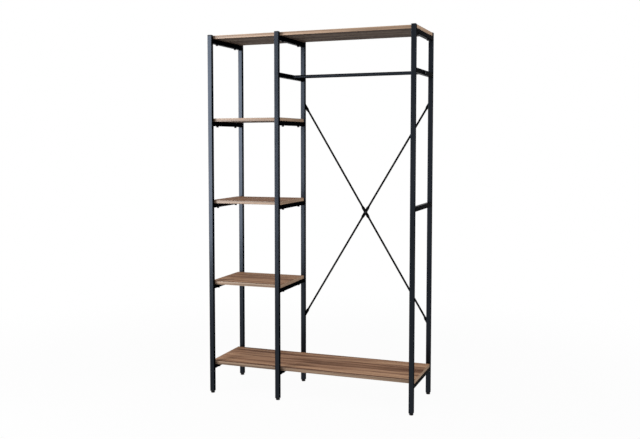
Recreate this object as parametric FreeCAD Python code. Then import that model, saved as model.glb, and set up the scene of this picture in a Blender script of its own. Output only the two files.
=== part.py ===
"""Open frame wardrobe: three welded ladder frames, five boards, a hanging rail and a rear cross brace.

Millimetres. +X to the right, +Y to the back, +Z up, origin at the bottom centre of the outer box.
"""

import FreeCAD
import Part
import math
import os

from FreeCAD import Vector

# Overall sizes of the three ladder frames
frame_width = 1040.0
frame_depth = 400.0
total_height = 1800.0
left_bay_clear = 332.0

# Square steel tube
tube_size = 22.0
tube_wall = 1.2
tube_corner = 2.0
least_corner = 0.3

# Boards
board_thickness = 16.0
board_front_gap = 0.5
board_rear_gap = 16.0
board_edge_round = 0.8
edge_band = 0.8
bottom_board_top = 161.0

# Axis of the right frame's extra rung, above the floor
side_rung_height = 957.0

# Hanging rail, its axis measured down from the top board
rail_drop = 204.0
rail_diameter = 17.0
rail_wall = 1.2
rail_insert_length = 25.0
rail_bolt_grip = 15.0

# Cross brace behind the hanging bay: its upper bolts below the rail, its lower bolts above the bottom board
brace_top_drop = 124.0
brace_bottom_rise = 187.0
brace_rod = 10.0
brace_plate_width = 15.0
brace_plate = 3.0
brace_end_flat = 38.0
brace_centre_flat = 25.0
brace_taper = 14.0
brace_flat_inset = 0.4
brace_insert_length = 9.0

# Fasteners
bolt = 6.0
bolt_head = 12.0
bolt_head_height = 3.5
bolt_head_round = 1.5
bolt_socket = 4.0
bolt_socket_depth = 2.0
board_bolt_head_height = 6.0
board_bolt_inset = 66.0
insert_wall = 1.5
board_insert_length = 11.0
board_insert_cover = 2.0
nut_across_flats = 10.0
nut_height = 4.0

# Post ends
cap_height = 4.0
cap_above_board = 3.0
cap_round = 2.5
cap_plug_length = 14.0
cap_wall = 1.6
foot_flange = 3.0
foot_plug_length = 30.0
stud = 8.0
stud_length = 38.0
pad_diameter = 20.0
pad_height = 9.5
pad_round = 2.0
pad_grip_depth = 5.0

# Clearances
bolt_clearance = 0.3
insert_clearance = 0.1
plug_clearance = 0.15
thread_clearance = 0.05
pad_gap = 0.4

PARALLEL = 1e-6
UP = Vector(0, 0, 1)
BACK = Vector(0, 1, 0)
RIGHT = Vector(1, 0, 0)

# The rail's bolt heads stand out on the right and the brace's behind, so the box is centred with them
x_left = -(frame_width + bolt_head_height) / 2
y_front = -(frame_depth + 2 * brace_plate + bolt_head_height) / 2
y_rear = y_front + frame_depth

# Board levels from the floor up
level_names = ["bottom", "lower_shelf", "middle_shelf", "upper_shelf", "top"]
full_width_levels = ("bottom", "top")

post_x = {
    "left": x_left,
    "middle": x_left + tube_size + left_bay_clear,
    "right": x_left + frame_width - tube_size,
}
post_y = {"front": y_front, "rear": y_rear - tube_size}
post_bottom = pad_height + pad_gap + foot_flange
post_top = total_height - cap_height

rung_front = y_front + tube_size
rung_rear = y_rear - tube_size
y_middle = (rung_front + rung_rear) / 2
board_y = (rung_front + board_front_gap, rung_rear - board_rear_gap)
top_board_top = total_height - cap_above_board
board_pitch = (top_board_top - bottom_board_top) / (len(level_names) - 1)
board_tops = [bottom_board_top + n * board_pitch for n in range(len(level_names))]
board_rung_z = [top - board_thickness - tube_size for top in board_tops]
rail_height = top_board_top - rail_drop
brace_top_height = rail_height - brace_top_drop
brace_bottom_height = bottom_board_top + brace_bottom_rise
rail_rung_z = rail_height - tube_size / 2
side_rung_z = side_rung_height - tube_size / 2
inner_corner = max(tube_corner - tube_wall, least_corner)
insert_outer = bolt + 2 * bolt_clearance + 2 * insert_wall
insert_bore = bolt + 2 * insert_clearance
insert_hole = insert_outer + 2 * insert_clearance
bolt_hole = bolt + 2 * bolt_clearance


def box(x, y, z, size_x, size_y, size_z):
    return Part.makeBox(size_x, size_y, size_z, Vector(x, y, z))


def cylinder(diameter, length, base, axis):
    return Part.makeCylinder(diameter / 2, length, base, axis)


def ring(outer, inner, length, base, axis):
    return cylinder(outer, length, base, axis).cut(cylinder(inner, length, base, axis))


def edges_along(shape, axis):
    """The straight edges of a shape that run along an axis."""
    found = []
    for edge in shape.Edges:
        ends = [vertex.Point for vertex in edge.Vertexes]
        if len(ends) == 2 and (ends[1] - ends[0]).normalize().cross(axis).Length < PARALLEL:
            found.append(edge)
    return found


def square_tube(x, y, z, length, axis):
    """A square tube with rounded corners, its lowest corner at x, y, z."""
    sides = [tube_size, tube_size, tube_size]
    bore = [tube_size - 2 * tube_wall] * 3
    shift = [tube_wall, tube_wall, tube_wall]
    along = 2 if axis == UP else 1
    sides[along] = length
    bore[along] = length
    shift[along] = 0
    outer = box(x, y, z, *sides)
    outer = outer.makeFillet(tube_corner, edges_along(outer, axis))
    inner = box(x + shift[0], y + shift[1], z + shift[2], *bore)
    inner = inner.makeFillet(inner_corner, edges_along(inner, axis))
    return outer.cut(inner)


def hexagon(across_flats, height, centre, axis):
    """A hexagonal prism that starts at centre and runs along axis."""
    radius = across_flats / math.sqrt(3)
    turns = [n * math.pi / 3 for n in range(6)]
    corners = [Vector(radius * math.cos(turn), radius * math.sin(turn), 0) for turn in turns]
    prism = Part.Face(Part.makePolygon(corners + corners[:1])).extrude(UP * height)
    prism.Placement = FreeCAD.Placement(centre, FreeCAD.Rotation(UP, axis))
    return prism


def socket_bolt(seat, axis, length, head_height):
    """A round-headed bolt: the head stands back from its seat and the shank runs along axis."""
    crown = seat - axis * head_height
    head = cylinder(bolt_head, head_height, crown, axis)
    circles = [edge for edge in head.Edges if edge.Closed]
    rim = [edge for edge in circles if (edge.CenterOfMass - crown).Length < head_height / 2]
    head = head.makeFillet(bolt_head_round, rim)
    head = head.cut(hexagon(bolt_socket, bolt_socket_depth, crown, axis))
    return head.fuse(cylinder(bolt, length, seat, axis)).removeSplitter()


def frame_levels(frame):
    """Heights of the undersides of a frame's rungs, by name."""
    levels = {}
    for name, z in zip(level_names, board_rung_z):
        if frame != "right" or name in full_width_levels:
            levels[name] = z
    if frame != "left":
        levels["rail"] = rail_rung_z
    if frame == "right":
        levels["side"] = side_rung_z
    return levels


def board_bolt_points():
    """Where each bolt head seats under a rung, with the frame and level it serves."""
    for frame, x in post_x.items():
        for name, z in frame_levels(frame).items():
            if name in level_names:
                for y in (rung_front + board_bolt_inset, rung_rear - board_bolt_inset):
                    yield frame, name, Vector(x + tube_size / 2, y, z)


def make_post(frame, row):
    tube = square_tube(post_x[frame], post_y[row], post_bottom, post_top - post_bottom, UP)
    if row == "rear" and frame != "left":
        for height in (brace_top_height, brace_bottom_height):
            centre = Vector(post_x[frame] + tube_size / 2, y_rear - 2 * tube_wall, height)
            tube = tube.cut(cylinder(insert_hole, 3 * tube_wall, centre, BACK))
    return tube


def make_rung(frame, name, z):
    rung = square_tube(post_x[frame], rung_front, z, rung_rear - rung_front, BACK)
    for owner, level, seat in board_bolt_points():
        if owner == frame and level == name:
            rung = rung.cut(cylinder(bolt_hole, tube_size, seat, UP))
    if name == "rail":
        side = Vector(post_x[frame], y_middle, rail_height)
        rung = rung.cut(cylinder(bolt_hole, tube_size, side, RIGHT))
    return rung


def board_span(name):
    """Left and right ends of a board: flush with the outer faces of the frames that carry it."""
    far = "right" if name in full_width_levels else "middle"
    return post_x["left"], post_x[far] + tube_size


def insert_seat(seat):
    """The board's underside above a bolt's seat."""
    return seat + UP * tube_size


def make_board(name, top):
    start, end = board_span(name)
    front = board_y[0] + edge_band
    board = box(start, front, top - board_thickness, end - start, board_y[1] - front, board_thickness)
    rounded = [edge for edge in edges_along(board, RIGHT) if edge.CenterOfMass.y > front + edge_band]
    board = board.makeFillet(board_edge_round, rounded)
    for owner, level, seat in board_bolt_points():
        if level == name:
            depth = board_insert_length + board_insert_cover
            board = board.cut(cylinder(insert_hole, depth, insert_seat(seat), UP))
    return board


def make_edge_bands():
    bands = []
    for name, top in zip(level_names, board_tops):
        start, end = board_span(name)
        band = box(start, board_y[0], top - board_thickness, end - start, edge_band, board_thickness)
        bands.append(band)
    return bands


def make_board_bolts():
    reach = tube_size + board_insert_length
    return [socket_bolt(seat, UP, reach, board_bolt_head_height) for _, _, seat in board_bolt_points()]


def make_board_inserts():
    rings = []
    for _, _, seat in board_bolt_points():
        rings.append(ring(insert_outer, insert_bore, board_insert_length, insert_seat(seat), UP))
    return rings


rail_start = Vector(post_x["middle"] + tube_size, y_middle, rail_height)
rail_end = Vector(post_x["right"], y_middle, rail_height)
rail_bore = rail_diameter - 2 * rail_wall


def make_rail():
    return ring(rail_diameter, rail_bore, rail_end.x - rail_start.x, rail_start, RIGHT)


def make_rail_inserts():
    size = rail_bore - 2 * insert_clearance
    right_base = rail_end - RIGHT * rail_insert_length
    return [ring(size, insert_bore, rail_insert_length, base, RIGHT) for base in (rail_start, right_base)]


def make_rail_bolts():
    reach = tube_size + rail_bolt_grip
    from_left = socket_bolt(rail_start - RIGHT * tube_size, RIGHT, reach, bolt_head_height)
    from_right = socket_bolt(rail_end + RIGHT * tube_size, -RIGHT, reach, bolt_head_height)
    return [from_left, from_right]


brace_left = post_x["middle"] + tube_size / 2
brace_right = post_x["right"] + tube_size / 2
brace_run = brace_right - brace_left
brace_rise = brace_top_height - brace_bottom_height
brace_length = math.hypot(brace_run, brace_rise)
brace_centre = Vector((brace_left + brace_right) / 2, y_rear, (brace_top_height + brace_bottom_height) / 2)


def rod_section(width, thickness, along, depth):
    """An oval or round section of a brace rod, square to its length."""
    if width > thickness:
        outline = Part.Ellipse(Vector(0, 0, 0), width / 2, thickness / 2)
    else:
        outline = Part.Circle(Vector(0, 0, 0), UP, width / 2)
    wire = Part.Wire(outline.toShape())
    wire.Placement = FreeCAD.Placement(Vector(along, depth, 0), FreeCAD.Rotation(UP, -BACK, RIGHT))
    return wire


def brace_flat(start, end, depth):
    """A flattened stretch of a rod with rounded ends, from start to end along the rod."""
    half = brace_plate_width / 2
    base = depth - brace_plate / 2
    plate = box(start, base, -half, end - start, brace_plate, brace_plate_width)
    for along in (start, end):
        plate = plate.fuse(cylinder(brace_plate_width, brace_plate, Vector(along, base, 0), BACK))
    return plate.removeSplitter()


def make_brace_rod(rises, centre_depth):
    """A round rod that flattens at its ends and middle, made along +X and then turned to its slope."""
    end_depth = brace_plate / 2
    half = brace_length / 2
    flat = (brace_plate_width - 2 * brace_flat_inset, brace_plate - brace_flat_inset)
    tip = half - brace_end_flat / 2
    neck = half - brace_end_flat - brace_taper
    waist = brace_centre_flat + brace_taper
    sections = []
    for side in (-1, 1):
        stations = [
            (flat, tip, end_depth),
            (flat, neck + brace_taper, end_depth),
            ((brace_rod, brace_rod), neck, centre_depth),
            ((brace_rod, brace_rod), waist, centre_depth),
            (flat, waist - brace_taper, centre_depth),
        ]
        if side > 0:
            stations.reverse()
        for shape, along, depth in stations:
            sections.append(rod_section(*shape, side * along, depth))
    rod = Part.makeLoft(sections, True, True)
    rod = rod.fuse(brace_flat(-half, brace_end_flat - half, end_depth))
    rod = rod.fuse(brace_flat(-brace_centre_flat, brace_centre_flat, centre_depth))
    rod = rod.fuse(brace_flat(half - brace_end_flat, half, end_depth))
    for along in (-half, 0, half):
        base = Vector(along, -brace_rod, 0)
        rod = rod.cut(cylinder(bolt_hole, 2 * brace_rod + brace_plate, base, BACK))
    slope = math.degrees(math.atan2(brace_rise, brace_run))
    rod.Placement = FreeCAD.Placement(brace_centre, FreeCAD.Rotation(BACK, -slope if rises else slope))
    return rod


def brace_bolt_points():
    for x in (brace_left, brace_right):
        for height in (brace_top_height, brace_bottom_height):
            yield Vector(x, y_rear, height)


def make_brace_end_bolts():
    reach = brace_plate + brace_insert_length
    seats = [point + BACK * brace_plate for point in brace_bolt_points()]
    return [socket_bolt(seat, -BACK, reach, bolt_head_height) for seat in seats]


def make_brace_inserts():
    inserts = []
    for point in brace_bolt_points():
        inserts.append(ring(insert_outer, insert_bore, brace_insert_length, point, -BACK))
    return inserts


def make_brace_centre_bolt():
    reach = 2 * brace_plate + nut_height
    return socket_bolt(brace_centre + BACK * 2 * brace_plate, -BACK, reach, bolt_head_height)


def make_brace_centre_nut():
    nut = hexagon(nut_across_flats, nut_height, brace_centre, -BACK)
    return nut.cut(cylinder(insert_bore, nut_height, brace_centre, -BACK))


def tube_plug(x, y, z, length, wall):
    """A square plug that fits inside a post; a wall thickness makes it a hollow skirt."""
    size = tube_size - 2 * (tube_wall + plug_clearance)
    inset = tube_wall + plug_clearance
    plug = box(x + inset, y + inset, z, size, size, length)
    plug = plug.makeFillet(inner_corner, edges_along(plug, UP))
    if wall:
        core = size - 2 * wall
        plug = plug.cut(box(x + inset + wall, y + inset + wall, z, core, core, length))
    return plug


def make_cap(x, y):
    top = box(x, y, post_top, tube_size, tube_size, cap_height)
    top = top.makeFillet(tube_corner, edges_along(top, UP))
    rim = [edge for edge in top.Edges if edge.BoundBox.ZMin > total_height - cap_height / 4]
    top = top.makeFillet(cap_round, rim)
    return top.fuse(tube_plug(x, y, post_top - cap_plug_length, cap_plug_length, cap_wall)).removeSplitter()


def make_foot_plug(x, y):
    flange = box(x, y, post_bottom - foot_flange, tube_size, tube_size, foot_flange)
    flange = flange.makeFillet(tube_corner, edges_along(flange, UP))
    plug = flange.fuse(tube_plug(x, y, post_bottom, foot_plug_length, 0)).removeSplitter()
    bore = Vector(x + tube_size / 2, y + tube_size / 2, post_bottom - foot_flange)
    return plug.cut(cylinder(stud + 2 * thread_clearance, foot_flange + foot_plug_length, bore, UP))


def make_stud(x, y):
    base = Vector(x + tube_size / 2, y + tube_size / 2, pad_grip_depth)
    return cylinder(stud, stud_length, base, UP)


def make_pad(x, y):
    centre = Vector(x + tube_size / 2, y + tube_size / 2, 0)
    pad = cylinder(pad_diameter, pad_height, centre, UP)
    rims = [edge for edge in pad.Edges if edge.Closed]
    pad = pad.makeFillet(pad_round, rims)
    hole = stud + 2 * thread_clearance
    return pad.cut(cylinder(hole, pad_height, centre + UP * pad_grip_depth, UP))


def export(name, solids):
    shape = solids[0] if len(solids) == 1 else Part.makeCompound(solids)
    shape.exportStep(os.path.join("parts", name + ".step"))


def main():
    os.makedirs("parts", exist_ok=True)
    caps = []
    for frame, x in post_x.items():
        for row, y in post_y.items():
            place = f"{frame}_{row}"
            export(f"{place}_post", [make_post(frame, row)])
            export(f"{place}_foot_plug", [make_foot_plug(x, y)])
            export(f"{place}_foot_stud", [make_stud(x, y)])
            export(f"{place}_foot_pad", [make_pad(x, y)])
            caps.append(make_cap(x, y))
        for name, z in frame_levels(frame).items():
            export(f"{frame}_{name}_rung", [make_rung(frame, name, z)])
    export("post_top_caps", caps)
    for name, top in zip(level_names, board_tops):
        export(name if name.endswith("shelf") else f"{name}_board", [make_board(name, top)])
    export("board_edge_bands", make_edge_bands())
    export("board_bolts", make_board_bolts())
    export("board_inserts", make_board_inserts())
    export("hanging_rail", [make_rail()])
    export("rail_inserts", make_rail_inserts())
    export("rail_bolts", make_rail_bolts())
    export("brace_rod_rising", [make_brace_rod(True, brace_plate / 2)])
    export("brace_rod_falling", [make_brace_rod(False, brace_plate + brace_plate / 2)])
    export("brace_end_bolts", make_brace_end_bolts())
    export("brace_inserts", make_brace_inserts())
    export("brace_centre_bolt", [make_brace_centre_bolt()])
    export("brace_centre_nut", [make_brace_centre_nut()])


main()
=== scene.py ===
"""Looks of an open frame wardrobe: finishes, welds, edge bands, foot threads and a stage."""
import math

import bmesh
import bpy
from bpy.props import FloatProperty, FloatVectorProperty, IntProperty, PointerProperty
from mathutils import Matrix, Vector


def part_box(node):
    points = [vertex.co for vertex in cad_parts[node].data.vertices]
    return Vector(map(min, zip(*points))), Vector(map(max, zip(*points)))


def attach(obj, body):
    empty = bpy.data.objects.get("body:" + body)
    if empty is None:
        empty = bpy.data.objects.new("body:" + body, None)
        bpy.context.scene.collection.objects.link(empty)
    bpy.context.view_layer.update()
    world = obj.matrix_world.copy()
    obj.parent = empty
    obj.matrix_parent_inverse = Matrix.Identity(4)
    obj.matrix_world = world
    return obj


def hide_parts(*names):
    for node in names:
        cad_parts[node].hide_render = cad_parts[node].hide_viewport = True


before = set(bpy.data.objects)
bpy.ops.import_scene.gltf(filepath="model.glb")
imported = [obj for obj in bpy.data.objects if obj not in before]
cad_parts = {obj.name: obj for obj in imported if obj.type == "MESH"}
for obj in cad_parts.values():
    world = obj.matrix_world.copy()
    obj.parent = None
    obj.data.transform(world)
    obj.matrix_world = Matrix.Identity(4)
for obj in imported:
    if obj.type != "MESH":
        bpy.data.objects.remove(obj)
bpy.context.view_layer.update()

bl_info = {
    "name": "Open Frame Wardrobe",
    "version": (1, 0, 0),
    "blender": (4, 5, 0),
    "location": "View3D > Sidebar > Wardrobe",
    "description": "Finishes, welds, edge bands, foot threads and a stage for a wardrobe",
    "category": "Object",
}

SIDES = ("left", "middle", "right")
PLACES = [side + "_" + end for side in SIDES for end in ("front", "rear")]
BOARDS = ("bottom_board", "lower_shelf", "middle_shelf", "upper_shelf", "top_board")
RUNGS = sorted(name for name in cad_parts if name.endswith("_rung"))
BARE_RUNGS = ("middle_rail_rung", "right_rail_rung", "right_side_rung")
POSTS = [place + "_post" for place in PLACES]
BRACES = ("brace_rod_rising", "brace_rod_falling")
BLACK_FASTENERS = (
    "board_bolts", "rail_bolts", "brace_end_bolts", "brace_centre_bolt", "brace_centre_nut")
ZINC_INSERTS = ("board_inserts", "rail_inserts", "brace_inserts")
PLASTIC = ["post_top_caps"] + [p + "_foot_plug" for p in PLACES] + [p + "_foot_pad" for p in PLACES]

# Distance under which two places count as one, and the angle past which an edge stays sharp
NEAR = 0.00001
CREASE = math.radians(40.0)
WELD_CREASE = math.radians(50.0)

# Depths of the relief in the finishes
PEEL_DEPTH = 0.00002
GRAIN_DEPTH = 0.00004
MOULD_DEPTH = 0.00005
METAL_DEPTH = 0.00002

# Widths along a weld as shares of its leg, and how far it sinks into the steel
WELD_SIDES = 16
WELD_END = 0.45
WELD_CREST = 1.0
WELD_TROUGH = 0.82
WELD_SUNK = 0.00015

# Camera sensor, lamps and floor of the stage
SENSOR_WIDTH = 36.0
KEY_TARGET = Vector((0.0, 0.0, 1.60))
LAMP_TARGET = Vector((0.0, 0.0, 0.92))
FILL_SIZE = (1.2, 1.8)
TOP_SIZE = (2.4, 1.4)
WHITE = (1.0, 1.0, 1.0)
SHADOW_NEAR, SHADOW_FAR = 1.0, 3.2
WHITE_IN_SHADOW = 0.965


# Settings

class WardrobeSteel(bpy.types.PropertyGroup):
    """Powder coat on the tubes, rungs, rail and brace."""

    coat: FloatVectorProperty(
        name="Coat", description="Colour of the slate black powder coat",
        subtype="COLOR", size=3, min=0.0, max=1.0, default=(0.0157, 0.0186, 0.0236))
    brace: FloatVectorProperty(
        name="Brace coat", description="Colour of the plain black coat on the brace rods",
        subtype="COLOR", size=3, min=0.0, max=1.0, default=(0.0035, 0.0035, 0.0036))
    roughness: FloatProperty(
        name="Roughness", description="Satin level of the coat",
        subtype="FACTOR", min=0.0, max=1.0, default=0.30)
    rim: FloatProperty(
        name="Rim", description="How bright the coat gets where it is seen edge on",
        subtype="FACTOR", min=0.0, max=1.0, default=0.20)
    peel: FloatProperty(
        name="Peel", description="Width of the dimples in the coat",
        unit="LENGTH", default=0.0016)
    weld_leg: FloatProperty(
        name="Weld leg", description="Leg length of the fillet welds at the rungs",
        unit="LENGTH", default=0.0026)
    weld_length: FloatProperty(
        name="Weld length", description="Length of each fillet weld",
        unit="LENGTH", default=0.0150)
    weld_ripples: IntProperty(
        name="Weld ripples", description="Ripples along each weld", min=2, default=8)


class WardrobeWood(bpy.types.PropertyGroup):
    """Walnut decor of the boards and their edge bands."""

    dark: FloatVectorProperty(
        name="Dark grain", description="Colour of the darkest bands in the grain",
        subtype="COLOR", size=3, min=0.0, max=1.0, default=(0.098, 0.044, 0.024))
    mid: FloatVectorProperty(
        name="Middle grain", description="Main colour of the boards",
        subtype="COLOR", size=3, min=0.0, max=1.0, default=(0.262, 0.143, 0.086))
    pale: FloatVectorProperty(
        name="Pale grain", description="Colour of the palest streaks",
        subtype="COLOR", size=3, min=0.0, max=1.0, default=(0.405, 0.243, 0.150))
    band: FloatVectorProperty(
        name="Front bands", description="Colour that the front edge bands lean to",
        subtype="COLOR", size=3, min=0.0, max=1.0, default=(0.292, 0.212, 0.147))
    # Painted shade: this tint darkens and cools every face that looks down, standing for the shade
    # under the boards
    underside_shade: FloatVectorProperty(
        name="Undersides", description="Tint that darkens the boards' undersides",
        subtype="COLOR", size=3, min=0.0, max=1.0, default=(0.36, 0.45, 0.55))
    end: FloatVectorProperty(
        name="Board ends", description="Colour of the bands on the boards' short ends",
        subtype="COLOR", size=3, min=0.0, max=1.0, default=(0.470, 0.320, 0.220))
    face_roughness: FloatProperty(
        name="Face roughness", description="Matt level of the boards' faces",
        subtype="FACTOR", min=0.0, max=1.0, default=0.68)
    face_reflection: FloatProperty(
        name="Face reflection", description="Strength of the highlights on the faces",
        subtype="FACTOR", min=0.0, max=1.0, default=0.04)
    band_roughness: FloatProperty(
        name="Band roughness", description="Satin level of the front edge bands",
        subtype="FACTOR", min=0.0, max=1.0, default=0.36)
    band_reflection: FloatProperty(
        name="Band reflection", description="Strength of the highlights on the front edge bands",
        subtype="FACTOR", min=0.0, max=1.0, default=0.34)
    band_streak: FloatProperty(
        name="Band streaks", description="Brightness of the brown streaks on the front bands",
        subtype="FACTOR", min=0.0, max=1.0, default=0.42)
    # On the undersides this strip is painted shade behind the front bands
    front_strip: FloatProperty(
        name="Front strip", description="Depth of the darker strip along the boards' front edges",
        unit="LENGTH", default=0.024)
    band_round: FloatProperty(
        name="Band rounding", description="Radius on the long edges of the front bands",
        unit="LENGTH", default=0.0006)


class WardrobeFittings(bpy.types.PropertyGroup):
    """Plastic caps and feet, bolts and threaded studs."""

    plastic: FloatVectorProperty(
        name="Plastic", description="Colour of the caps, plugs and foot pads",
        subtype="COLOR", size=3, min=0.0, max=1.0, default=(0.0050, 0.0050, 0.0056))
    bolt: FloatVectorProperty(
        name="Bolts", description="Colour of the blackened bolts",
        subtype="COLOR", size=3, min=0.0, max=1.0, default=(0.0080, 0.0080, 0.0092))
    zinc: FloatVectorProperty(
        name="Zinc", description="Colour of the zinc plated studs and inserts",
        subtype="COLOR", size=3, min=0.0, max=1.0, default=(0.60, 0.61, 0.62))
    thread_pitch: FloatProperty(
        name="Thread pitch", description="Rise of the foot studs' thread in one turn",
        unit="LENGTH", default=0.00125)
    thread_steps: IntProperty(
        name="Thread steps", description="Steps in one turn of the thread", min=8, default=20)


class WardrobeStage(bpy.types.PropertyGroup):
    """Camera, lamps and floor."""

    camera_place: FloatVectorProperty(
        name="Camera", description="Where the camera stands",
        subtype="XYZ", unit="LENGTH", size=3, default=(1.42140, -4.25946, 1.26882))
    camera_yaw: FloatProperty(
        name="Yaw", description="Turn of the camera to its left from the depth axis",
        unit="ROTATION", default=0.40185)
    camera_pitch: FloatProperty(
        name="Pitch", description="Downward tilt of the camera", unit="ROTATION", default=0.06752)
    camera_roll: FloatProperty(
        name="Roll", description="Roll of the camera", unit="ROTATION", default=-0.00500)
    camera_lens: FloatProperty(
        name="Lens", description="Focal length on a 36 mm wide sensor, in millimetres",
        default=50.538)
    camera_shift: FloatVectorProperty(
        name="Shift", description="Sideways and upward shift of the lens",
        size=2, default=(0.1109, -0.0258))
    key_place: FloatVectorProperty(
        name="Softbox", description="Where the large softbox stands",
        subtype="XYZ", unit="LENGTH", size=3, default=(-1.50, -1.80, 1.37))
    key_size: FloatVectorProperty(
        name="Softbox size", description="Width and height of the softbox",
        unit="LENGTH", size=2, default=(0.94, 1.82))
    key_power: FloatProperty(
        name="Softbox power", description="Power of the softbox in watts", default=76.0)
    fill_place: FloatVectorProperty(
        name="Fill lamp", description="Where the lamp on the right stands",
        subtype="XYZ", unit="LENGTH", size=3, default=(2.60, -0.80, 1.90))
    fill_power: FloatProperty(
        name="Fill power", description="Power of the fill lamp in watts", default=30.0)
    top_place: FloatVectorProperty(
        name="Top lamp", description="Where the lamp above the front stands",
        subtype="XYZ", unit="LENGTH", size=3, default=(0.3, -1.9, 3.4))
    top_power: FloatProperty(
        name="Top power", description="Power of the top lamp in watts", default=28.0)
    ambient: FloatProperty(
        name="Ambient", description="Level of the even light from all round",
        subtype="FACTOR", min=0.0, max=1.0, default=0.34)
    floor_colour: FloatVectorProperty(
        name="Floor", description="Colour of the plain floor",
        subtype="COLOR", size=3, min=0.0, max=1.0, default=(0.42, 0.42, 0.42))
    floor_half: FloatProperty(
        name="Floor half width", description="Half the width of the floor",
        unit="LENGTH", default=20.0)


# Shader nodes

class Shade:
    """One shader value. Python sums on it add Math nodes to its tree."""

    def __init__(self, net, link):
        self.net = net
        self.link = link

    def _maths(self, operation, left, right):
        return self.net.node("ShaderNodeMath", {"operation": operation}, {0: left, 1: right})

    def __add__(self, other):
        return self._maths("ADD", self, other)

    def __radd__(self, other):
        return self._maths("ADD", other, self)

    def __sub__(self, other):
        return self._maths("SUBTRACT", self, other)

    def __rsub__(self, other):
        return self._maths("SUBTRACT", other, self)

    def __mul__(self, other):
        return self._maths("MULTIPLY", self, other)

    def __rmul__(self, other):
        return self._maths("MULTIPLY", other, self)


class Net:
    """A node tree that is being filled."""

    def __init__(self, owner):
        owner.use_nodes = True
        self.tree = owner.node_tree
        self.tree.nodes.clear()

    def node(self, kind, settings=None, sockets=None, result=0):
        """Adds a node, its settings, then its sockets' values or links, and gives one output."""
        made = self.tree.nodes.new(kind)
        for key, value in (settings or {}).items():
            if key == "stops":
                elements = made.color_ramp.elements
                while len(elements) < len(value):
                    elements.new(0.5)
                for element, (place, colour) in zip(elements, value):
                    element.position = place
                    element.color = (*colour, 1.0)
            else:
                setattr(made, key, value)
        for key, value in (sockets or {}).items():
            if isinstance(value, Shade):
                self.tree.links.new(value.link, made.inputs[key])
            else:
                made.inputs[key].default_value = value
        return Shade(self, made.outputs[result]) if made.outputs else None

    def places(self):
        """Object coordinates, in metres."""
        return self.node("ShaderNodeTexCoord", result="Object")

    def noise(self, places, scale, detail, roughness=0.55, offset=(0.0, 0.0, 0.0)):
        """Noise whose waves per metre differ along the three axes."""
        spread = self.node(
            "ShaderNodeMapping", None, {"Vector": places, "Location": offset, "Scale": scale})
        return self.node(
            "ShaderNodeTexNoise", {"noise_dimensions": "3D"},
            {"Vector": spread, "Scale": 1.0, "Detail": detail, "Roughness": roughness})

    def smooth(self, value, low, high, out_low=0.0, out_high=1.0):
        """A smooth step from one level to another."""
        return self.node(
            "ShaderNodeMapRange", {"interpolation_type": "SMOOTHSTEP"},
            {"Value": value, "From Min": low, "From Max": high,
             "To Min": out_low, "To Max": out_high})

    def blend(self, share, first, second, how="MIX"):
        """Mixes two colours."""
        first, second = (
            side if isinstance(side, Shade) else (*side, 1.0) for side in (first, second))
        return self.node(
            "ShaderNodeMix", {"data_type": "RGBA", "blend_type": how},
            {0: share, 6: first, 7: second}, result=2)

    def bump(self, height, depth):
        """A normal from a height between 0 and 1 and its depth in metres."""
        return self.node(
            "ShaderNodeBump", None, {"Strength": 1.0, "Distance": depth, "Height": height})

    def surface(self, sockets):
        """Ends the tree in one Principled shader."""
        shader = self.node("ShaderNodeBsdfPrincipled", None, sockets)
        self.node("ShaderNodeOutputMaterial", None, {"Surface": shader})


def scaled(colour, share):
    """A lighter or darker version of a colour."""
    return tuple(share * channel for channel in colour)


def new_finish(name):
    """An empty material and its tree."""
    material = bpy.data.materials.new(name)
    return material, Net(material)


def coated_steel(name, coat, steel):
    """Powder coat of one colour, with a faint orange peel."""
    material, net = new_finish(name)
    places = net.places()
    dimples = 1.0 / steel.peel
    cloud = net.noise(places, (5.0, 5.0, 3.0), 3.0)
    peel = net.noise(places, (dimples, dimples, dimples), 2.0)
    grit = net.noise(places, (2600.0, 2600.0, 2600.0), 2.0, offset=(3.0, 7.0, 1.0))
    darker, lighter = scaled(coat, 0.88), scaled(coat, 1.12)
    net.surface({
        "Base Color": net.blend(net.smooth(cloud, 0.30, 0.70), darker, lighter),
        "Metallic": 1.0,
        "Roughness": steel.roughness - 0.04 + 0.05 * cloud + 0.05 * grit,
        "Specular Tint": (steel.rim, steel.rim, steel.rim, 1.0),
        "Normal": net.bump(0.75 * peel + 0.25 * grit, PEEL_DEPTH),
    })
    return material


def along_grain(net, places):
    """Places whose lines wander a little as they run along the board."""
    wander = net.noise(places, (0.9, 2.5, 9.0), 2.0, offset=(11.0, 4.0, 2.0)) - 0.5
    sway = net.node("ShaderNodeCombineXYZ", None, {"Y": 0.09 * wander, "Z": 0.02 * wander})
    return net.node("ShaderNodeVectorMath", {"operation": "ADD"}, {0: places, 1: sway})


def part_of(net, vector, axis):
    """One axis of a vector."""
    return net.node("ShaderNodeSeparateXYZ", None, {"Vector": vector}, result=axis)


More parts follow.
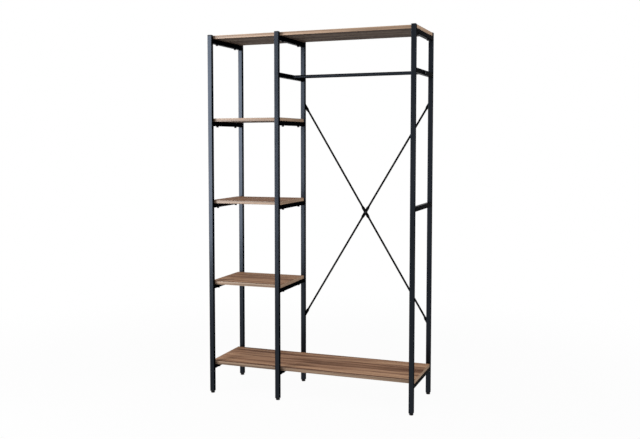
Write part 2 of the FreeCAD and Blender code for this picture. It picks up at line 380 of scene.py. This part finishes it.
def walnut_colour(net, wood, lines, across):
    """The colour, streaks, relief and pores of walnut with broad bands and thin growth lines.

    The bands and streaks lie closer in height where across is more than 1.
    """
    band = net.noise(lines, (0.6, 15.0, 15.0 * across), 3.0, 0.6, offset=(6.2, 5.2, 7.9))
    streak = net.noise(lines, (1.1, 34.0, 28.0 * across), 3.0, 0.7, offset=(7.4, 1.6, 3.27))
    fine = net.noise(lines, (6.0, 230.0, 230.0), 3.0, 0.6, offset=(1.0, 5.0, 8.0))
    pore = net.noise(lines, (55.0, 1500.0, 1500.0), 1.0, offset=(4.0, 2.0, 6.0))
    growth = net.node("ShaderNodeMath", {"operation": "FRACT"}, {0: 12.0 * band + 2.0 * streak})
    late = net.smooth(growth, 0.50, 0.92) * net.smooth(growth, 1.0, 0.92)
    tone = 0.55 + 1.8 * (band - 0.5) + 3.2 * (streak - 0.5) + 0.5 * (fine - 0.5) - 0.25 * late
    colour = net.node(
        "ShaderNodeValToRGB",
        {"stops": ((0.08, wood.dark), (0.48, wood.mid), (0.92, wood.pale))}, {"Fac": tone})
    pores = net.smooth(pore, 0.60, 0.72)
    colour = net.blend(0.45 * pores, colour, scaled(wood.dark, 0.55))
    return colour, streak, 0.55 * fine + 0.45 * (1.0 - pores), pores


def walnut_face(wood, front):
    """Matt walnut decor, with tan bands on the short ends and a dark strip along the front; on the
    undersides, painted shade darkens the faces and the strip.
    """
    material, net = new_finish("walnut_decor")
    places = net.places()
    colour, streak, relief, pores = walnut_colour(net, wood, along_grain(net, places), 1.0)
    facing = net.node("ShaderNodeTexCoord", result="Normal")
    # Painted shade on the undersides: faces that look down take the underside tint
    below = net.smooth(part_of(net, facing, "Z"), -0.60, -0.80)
    colour = net.blend(below, colour, tuple(wood.underside_shade), "MULTIPLY")
    # A darker strip along the front edges, gated by the streaks; on the undersides it is painted
    # shade behind the front band
    behind = part_of(net, places, "Y") - front
    strip = net.smooth(behind, wood.front_strip, 0.6 * wood.front_strip)
    strip = 0.85 * strip * net.smooth(streak, 0.24, 0.46)
    colour = net.blend(strip, colour, scaled(wood.dark, 0.7))
    sideways = net.node("ShaderNodeMath", {"operation": "ABSOLUTE"}, {0: part_of(net, facing, "X")})
    end_grain = net.noise(places, (60.0, 4.0, 170.0), 3.0)
    end = net.blend(net.smooth(end_grain, 0.38, 0.62), scaled(wood.end, 0.70), tuple(wood.end))
    colour = net.blend(net.smooth(sideways, 0.60, 0.80), colour, end)
    net.surface({
        "Base Color": colour,
        "Roughness": wood.face_roughness + 0.10 * (streak - 0.5) + 0.08 * pores,
        "Specular IOR Level": wood.face_reflection,
        "Normal": net.bump(relief, GRAIN_DEPTH),
    })
    return material


def walnut_band(wood):
    """Satin edge band, greyer than the faces, with brown streaks that run along it."""
    material, net = new_finish("walnut_edge_band")
    places = net.places()
    colour, streak, relief, pores = walnut_colour(net, wood, along_grain(net, places), 2.4)
    line = net.noise(places, (1.3, 1.0, 120.0), 2.0, 0.5, offset=(6.0, 0.0, 4.1))
    browner = scaled(wood.band, wood.band_streak)
    tint = net.blend(net.smooth(line, 0.46, 0.60), tuple(wood.band), browner)
    net.surface({
        "Base Color": net.blend(0.66, colour, tint),
        "Roughness": wood.band_roughness + 0.10 * (streak - 0.5) + 0.08 * pores,
        "Specular IOR Level": wood.band_reflection,
        "Normal": net.bump(relief, GRAIN_DEPTH),
    })
    return material


def moulded_plastic(fittings):
    """Black plastic with a fine spark eroded grain."""
    material, net = new_finish("black_moulded_plastic")
    places = net.places()
    grain = net.noise(places, (1500.0, 1500.0, 1500.0), 3.0)
    cloud = net.noise(places, (60.0, 60.0, 60.0), 2.0, offset=(5.0, 2.0, 9.0))
    lighter = scaled(fittings.plastic, 1.6)
    net.surface({
        "Base Color": net.blend(net.smooth(cloud, 0.3, 0.7), tuple(fittings.plastic), lighter),
        "Roughness": 0.50 + 0.14 * grain,
        "Specular IOR Level": 0.10,
        "Normal": net.bump(grain, MOULD_DEPTH),
    })
    return material


def blackened_bolts(fittings):
    """Blackened screw steel, a little rubbed."""
    material, net = new_finish("black_bolt_steel")
    rub = net.noise(net.places(), (420.0, 420.0, 420.0), 4.0)
    rubbed = scaled(fittings.bolt, 2.2)
    net.surface({
        "Base Color": net.blend(net.smooth(rub, 0.45, 0.75), tuple(fittings.bolt), rubbed),
        "Metallic": 0.35,
        "Roughness": 0.30 + 0.18 * rub,
        "Specular IOR Level": 0.15,
        "Normal": net.bump(rub, METAL_DEPTH),
    })
    return material


def zinc_plate(fittings):
    """Bright zinc plate with fine draw marks round the thread."""
    material, net = new_finish("zinc_plated_steel")
    places = net.places()
    marks = net.noise(places, (500.0, 500.0, 2600.0), 3.0)
    bloom = net.noise(places, (140.0, 140.0, 140.0), 3.0, offset=(6.0, 3.0, 1.0))
    dull = scaled(fittings.zinc, 0.72)
    net.surface({
        "Base Color": net.blend(net.smooth(bloom, 0.35, 0.68), tuple(fittings.zinc), dull),
        "Metallic": 1.0,
        "Roughness": 0.24 + 0.20 * bloom + 0.06 * marks,
        "Normal": net.bump(marks, METAL_DEPTH),
    })
    return material


def rays_that_see(net):
    """1 for rays from the camera, or sent on by mirrors and glass, and 0 for light itself."""
    camera = net.node("ShaderNodeLightPath", result="Is Camera Ray")
    mirror = net.node("ShaderNodeLightPath", result="Is Glossy Ray")
    glass = net.node("ShaderNodeLightPath", result="Is Transmission Ray")
    seen = camera + mirror + glass
    return net.node("ShaderNodeMath", {"operation": "MINIMUM"}, {0: seen, 1: 1.0})


# Modelling helpers

def only(piece):
    """Leaves one object selected and active."""
    bpy.ops.object.select_all(action="DESELECT")
    piece.select_set(True)
    bpy.context.view_layer.objects.active = piece


def pick(kind, test):
    """In edit mode, selects the vertices or edges that pass a test."""
    bpy.ops.mesh.select_mode(type=kind)
    bpy.ops.mesh.select_all(action="DESELECT")
    mesh = bpy.context.object.data
    shape = bmesh.from_edit_mesh(mesh)
    for item in {"VERT": shape.verts, "EDGE": shape.edges}[kind]:
        if test(item):
            item.select_set(True)
    shape.select_flush_mode()
    bmesh.update_edit_mesh(mesh)


def settle(piece):
    """Puts the piece's place into its mesh."""
    only(piece)
    bpy.ops.object.transform_apply(location=True, rotation=True, scale=True)


def hand_over(piece, name, material, body, slot, *nodes):
    """Names a finished piece, gives it its finish, ties it to its body and hides the CAD nodes it
    stands in for.
    """
    piece.name = name
    piece.data.name = name
    piece.data.materials.clear()
    piece.data.materials.append(material)
    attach(piece, body)
    if nodes:
        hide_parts(*nodes)


def paint(names, material):
    """Gives CAD nodes a finish."""
    for name in names:
        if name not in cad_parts:
            raise RuntimeError("no node is named " + name)
        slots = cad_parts[name].data.materials
        slots.clear()
        slots.append(material)


def finish_of(name):
    """A finish that an earlier step has made."""
    material = bpy.data.materials.get(name)
    if material is None:
        raise RuntimeError("the finish " + name + " is not there yet")
    return material


# Steps

class WARDROBE_OT_stage(bpy.types.Operator):
    """Sets the camera, the lamps, the pale floor and the white surroundings"""

    bl_idname = "wardrobe.stage"
    bl_label = "Stage"

    def execute(self, context):
        stage = context.scene.wardrobe_stage
        context.scene.view_settings.view_transform = "Standard"
        self.camera(context, stage)
        self.lamp(context, "softbox", stage.key_place, KEY_TARGET, stage.key_size, stage.key_power)
        self.lamp(context, "fill_lamp", stage.fill_place, LAMP_TARGET, FILL_SIZE, stage.fill_power)
        self.lamp(context, "top_lamp", stage.top_place, LAMP_TARGET, TOP_SIZE, stage.top_power)
        self.surroundings(context, stage)
        self.floor(stage)
        return {"FINISHED"}

    def camera(self, context, stage):
        data = bpy.data.cameras.new("camera")
        data.sensor_fit = "HORIZONTAL"
        data.sensor_width = SENSOR_WIDTH
        data.lens = stage.camera_lens
        data.shift_x, data.shift_y = stage.camera_shift
        camera = bpy.data.objects.new("camera", data)
        context.scene.collection.objects.link(camera)
        turn = Matrix.Rotation(stage.camera_yaw, 3, "Z")
        tilt = Matrix.Rotation(math.pi / 2 - stage.camera_pitch, 3, "X")
        roll = Matrix.Rotation(stage.camera_roll, 3, "Z")
        camera.matrix_world = Matrix.Translation(stage.camera_place) @ (turn @ tilt @ roll).to_4x4()
        context.scene.camera = camera

    def lamp(self, context, name, place, target, size, power):
        data = bpy.data.lights.new(name, "AREA")
        data.shape = "RECTANGLE"
        data.size, data.size_y = size
        data.energy = power
        lamp = bpy.data.objects.new(name, data)
        context.scene.collection.objects.link(lamp)
        aim = (target - Vector(place)).to_track_quat("-Z", "Y").to_matrix().to_4x4()
        lamp.matrix_world = Matrix.Translation(place) @ aim

    def surroundings(self, context, stage):
        world = bpy.data.worlds.new("white_surroundings")
        context.scene.world = world
        net = Net(world)
        level = stage.ambient + (1.0 - stage.ambient) * rays_that_see(net)
        light = net.node("ShaderNodeBackground", None, {"Color": (*WHITE, 1.0), "Strength": level})
        net.node("ShaderNodeOutputWorld", None, {"Surface": light})

    def floor(self, stage):
        bpy.ops.object.select_all(action="DESELECT")
        bpy.ops.mesh.primitive_plane_add(size=2.0 * stage.floor_half, location=(0.0, 0.0, 0.0))
        floor = bpy.context.object
        floor.name = "floor"
        material, net = new_finish("pale_floor")
        away = net.node(
            "ShaderNodeVectorMath", {"operation": "LENGTH"}, {0: net.places()}, result="Value")
        share = rays_that_see(net) * net.smooth(away, SHADOW_NEAR, SHADOW_FAR, WHITE_IN_SHADOW, 1.0)
        matt = net.node("ShaderNodeBsdfDiffuse", None, {"Color": (*stage.floor_colour, 1.0)})
        white = net.node("ShaderNodeEmission", None, {"Color": (*WHITE, 1.0), "Strength": 1.0})
        shown = net.node("ShaderNodeMixShader", None, {0: share, 1: matt, 2: white})
        net.node("ShaderNodeOutputMaterial", None, {"Surface": shown})
        floor.data.materials.append(material)


class WARDROBE_OT_steel(bpy.types.Operator):
    """Coats the posts, rungs, hanging rail and brace rods"""

    bl_idname = "wardrobe.steel"
    bl_label = "Coat the steel"

    def execute(self, context):
        steel = context.scene.wardrobe_steel
        slate = coated_steel("slate_powder_coat", steel.coat, steel)
        paint(POSTS, slate)
        paint(RUNGS, slate)
        paint(("hanging_rail",), slate)
        paint(BRACES, coated_steel("black_powder_coat", steel.brace, steel))
        return {"FINISHED"}


class WARDROBE_OT_welds(bpy.types.Operator):
    """Lays a rippled fillet weld in the corners between rungs and posts"""

    bl_idname = "wardrobe.welds"
    bl_label = "Weld the rungs"

    def execute(self, context):
        steel = context.scene.wardrobe_steel
        coat = finish_of("slate_powder_coat")
        bead = self.bead(steel)
        for side in SIDES:
            copies = []
            for rung in RUNGS:
                if rung.startswith(side + "_"):
                    copies += self.lay(bead, rung)
            only(copies[0])
            for copy in copies:
                copy.select_set(True)
            bpy.ops.object.join()
            piece = bpy.context.object
            settle(piece)
            bpy.ops.object.shade_smooth_by_angle(angle=WELD_CREASE)
            hand_over(piece, side + "_frame_welds", coat, "frame", "frame_steel")
        only(bead)
        bpy.ops.object.delete()
        return {"FINISHED"}

    def bead(self, steel):
        """One weld along X, in the corner of a face that looks along +Y and one that looks down."""
        steps = 2 * steel.weld_ripples
        advance = steel.weld_length / steps
        bpy.ops.object.select_all(action="DESELECT")
        bpy.ops.mesh.primitive_circle_add(
            vertices=WELD_SIDES, radius=WELD_END * steel.weld_leg, fill_type="NGON",
            location=(-steel.weld_length / 2, 0.0, 0.0), rotation=(0.0, math.pi / 2, 0.0))
        bead = bpy.context.object
        settle(bead)
        bpy.ops.object.mode_set(mode="EDIT")
        bpy.ops.mesh.select_mode(type="FACE")
        bpy.ops.mesh.select_all(action="SELECT")
        width = WELD_END
        for step in range(steps):
            wanted = WELD_TROUGH if step % 2 else WELD_CREST
            if step == steps - 1:
                wanted = WELD_END
            bpy.ops.mesh.extrude_region_move(TRANSFORM_OT_translate={"value": (advance, 0.0, 0.0)})
            change = wanted / width
            bpy.ops.transform.resize(value=(1.0, change, change), center_override=(0.0, 0.0, 0.0))
            width = wanted
        bpy.ops.mesh.select_all(action="SELECT")
        bpy.ops.mesh.remove_doubles(threshold=NEAR)
        bpy.ops.mesh.normals_make_consistent(inside=False)
        bpy.ops.mesh.select_all(action="SELECT")
        bpy.ops.mesh.bisect(
            plane_co=(0.0, -WELD_SUNK, 0.0), plane_no=(0.0, 1.0, 0.0),
            use_fill=True, clear_inner=True)
        bpy.ops.mesh.select_all(action="SELECT")
        bpy.ops.mesh.bisect(
            plane_co=(0.0, 0.0, WELD_SUNK), plane_no=(0.0, 0.0, 1.0),
            use_fill=True, clear_outer=True)
        bpy.ops.mesh.select_all(action="SELECT")
        bpy.ops.mesh.normals_make_consistent(inside=False)
        bpy.ops.object.mode_set(mode="OBJECT")
        return bead

    def lay(self, bead, rung):
        """Copies the weld to both ends of a rung, below it and, clear of the boards, above it."""
        low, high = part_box(rung)
        centre = (low.x + high.x) / 2
        corners = [(low.y, low.z, 0.0), (high.y, low.z, -90.0), (high.y, high.z, 180.0)]
        if rung in BARE_RUNGS:
            corners.append((low.y, high.z, 90.0))
        copies = []
        for y, z, turn in corners:
            only(bead)
            bpy.ops.object.duplicate(linked=False)
            copy = bpy.context.object
            copy.rotation_euler = (math.radians(turn), 0.0, 0.0)
            copy.location = (centre, y, z)
            settle(copy)
            copies.append(copy)
        return copies


class WARDROBE_OT_boards(bpy.types.Operator):
    """Gives the boards their walnut decor"""

    bl_idname = "wardrobe.boards"
    bl_label = "Face the boards"

    def execute(self, context):
        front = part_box("bottom_board")[0].y
        paint(BOARDS, walnut_face(context.scene.wardrobe_wood, front))
        return {"FINISHED"}


class WARDROBE_OT_edge_bands(bpy.types.Operator):
    """Models the front edge band of each board, with its long edges rounded"""

    bl_idname = "wardrobe.edge_bands"
    bl_label = "Band the front edges"

    def execute(self, context):
        wood = context.scene.wardrobe_wood
        finish = walnut_band(wood)
        low_band, high_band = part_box("board_edge_bands")
        for board in BOARDS:
            low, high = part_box(board)
            low.y, high.y = low_band.y, high_band.y
            bpy.ops.object.select_all(action="DESELECT")
            bpy.ops.mesh.primitive_cube_add(size=1.0, location=(low + high) / 2)
            band = bpy.context.object
            band.scale = high - low
            settle(band)
            bpy.ops.object.mode_set(mode="EDIT")
            pick("EDGE", lambda edge: self.front_edge(edge, low.y))
            bpy.ops.mesh.bevel(offset=wood.band_round, segments=4, affect="EDGES")
            bpy.ops.object.mode_set(mode="OBJECT")
            bpy.ops.object.shade_smooth_by_angle(angle=CREASE)
            hand_over(band, board + "_edge_band", finish, "frame", "edge_band", "board_edge_bands")
        return {"FINISHED"}

    def front_edge(self, edge, front):
        one, two = edge.verts
        at_front = abs(one.co.y - front) < NEAR and abs(two.co.y - front) < NEAR
        return at_front and abs(one.co.z - two.co.z) < NEAR


class WARDROBE_OT_plastic(bpy.types.Operator):
    """Gives the caps, plugs and foot pads their moulded grain"""

    bl_idname = "wardrobe.plastic"
    bl_label = "Grain the plastic"

    def execute(self, context):
        paint(PLASTIC, moulded_plastic(context.scene.wardrobe_fittings))
        return {"FINISHED"}


class WARDROBE_OT_fasteners(bpy.types.Operator):
    """Blackens the bolts and plates the inserts"""

    bl_idname = "wardrobe.fasteners"
    bl_label = "Finish the fasteners"

    def execute(self, context):
        fittings = context.scene.wardrobe_fittings
        paint(BLACK_FASTENERS, blackened_bolts(fittings))
        paint(ZINC_INSERTS, zinc_plate(fittings))
        return {"FINISHED"}


class WARDROBE_OT_studs(bpy.types.Operator):
    """Cuts the thread of each foot stud"""

    bl_idname = "wardrobe.studs"
    bl_label = "Thread the studs"

    def execute(self, context):
        fittings = context.scene.wardrobe_fittings
        plate = finish_of("zinc_plated_steel")
        for place in PLACES:
            node = place + "_foot_stud"
            stud = self.thread(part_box(node), fittings)
            name, body = place + "_threaded_stud", place + "_foot_screw"
            hand_over(stud, name, plate, body, "zinc_steel", node)
        return {"FINISHED"}

    def thread(self, box, fittings):
        """A tooth between two roots, screwed up round the stud's axis and closed at both ends."""
        low, high = box
        radius = (high.x - low.x) / 2
        pitch = fittings.thread_pitch
        tooth = pitch / 2
        bpy.ops.object.select_all(action="DESELECT")
        axis = Vector(((low.x + high.x) / 2, (low.y + high.y) / 2, low.z + tooth))
        bpy.ops.mesh.primitive_plane_add(size=tooth * math.sqrt(2.0), location=(0.0, 0.0, 0.0))
        stud = bpy.context.object
        stud.rotation_euler = (math.pi / 2, math.pi / 4, 0.0)
        settle(stud)
        bpy.ops.object.mode_set(mode="EDIT")
        pick("VERT", lambda corner: corner.co.x < -0.5 * tooth)
        bpy.ops.mesh.delete(type="VERT")
        bpy.ops.mesh.select_all(action="SELECT")
        bpy.ops.transform.translate(value=(radius - tooth, 0.0, 0.0))
        bpy.ops.object.mode_set(mode="OBJECT")
        screw = stud.modifiers.new("thread", "SCREW")
        screw.axis = "Z"
        screw.angle = 2.0 * math.pi
        screw.screw_offset = pitch
        screw.iterations = int((high.z - low.z) / pitch) - 1
        screw.steps = fittings.thread_steps
        screw.render_steps = fittings.thread_steps
        screw.use_merge_vertices = True
        screw.merge_threshold = NEAR
        bpy.ops.object.modifier_apply(modifier=screw.name)
        bpy.ops.object.mode_set(mode="EDIT")
        bpy.ops.mesh.select_all(action="SELECT")
        bpy.ops.mesh.remove_doubles(threshold=NEAR)
        bpy.ops.mesh.select_all(action="SELECT")
        bpy.ops.mesh.fill_holes(sides=0)
        bpy.ops.mesh.select_all(action="SELECT")
        bpy.ops.mesh.normals_make_consistent(inside=False)
        bpy.ops.object.mode_set(mode="OBJECT")
        stud.location = axis
        settle(stud)
        bpy.ops.object.shade_smooth_by_angle(angle=CREASE)
        return stud


STEPS = (
    WARDROBE_OT_stage,
    WARDROBE_OT_steel,
    WARDROBE_OT_welds,
    WARDROBE_OT_boards,
    WARDROBE_OT_edge_bands,
    WARDROBE_OT_plastic,
    WARDROBE_OT_fasteners,
    WARDROBE_OT_studs,
)
GROUPS = {
    "wardrobe_steel": WardrobeSteel,
    "wardrobe_wood": WardrobeWood,
    "wardrobe_fittings": WardrobeFittings,
    "wardrobe_stage": WardrobeStage,
}


class WARDROBE_PT_panel(bpy.types.Panel):
    """Lists the steps and the settings"""

    bl_idname = "WARDROBE_PT_panel"
    bl_label = "Open Frame Wardrobe"
    bl_space_type = "VIEW_3D"
    bl_region_type = "UI"
    bl_category = "Wardrobe"

    def draw(self, context):
        for step in STEPS:
            self.layout.operator(step.bl_idname)
        for group, kind in GROUPS.items():
            box = self.layout.box()
            for setting in kind.__annotations__:
                box.prop(getattr(context.scene, group), setting)


CLASSES = (*GROUPS.values(), *STEPS, WARDROBE_PT_panel)


def register():
    for kind in CLASSES:
        bpy.utils.register_class(kind)
    for group, kind in GROUPS.items():
        setattr(bpy.types.Scene, group, PointerProperty(type=kind))


def unregister():
    for group in GROUPS:
        delattr(bpy.types.Scene, group)
    for kind in reversed(CLASSES):
        bpy.utils.unregister_class(kind)


def main():
    register()
    for step in STEPS:
        family, name = step.bl_idname.split(".")
        getattr(getattr(bpy.ops, family), name)()


if __name__ == "__main__":
    main()
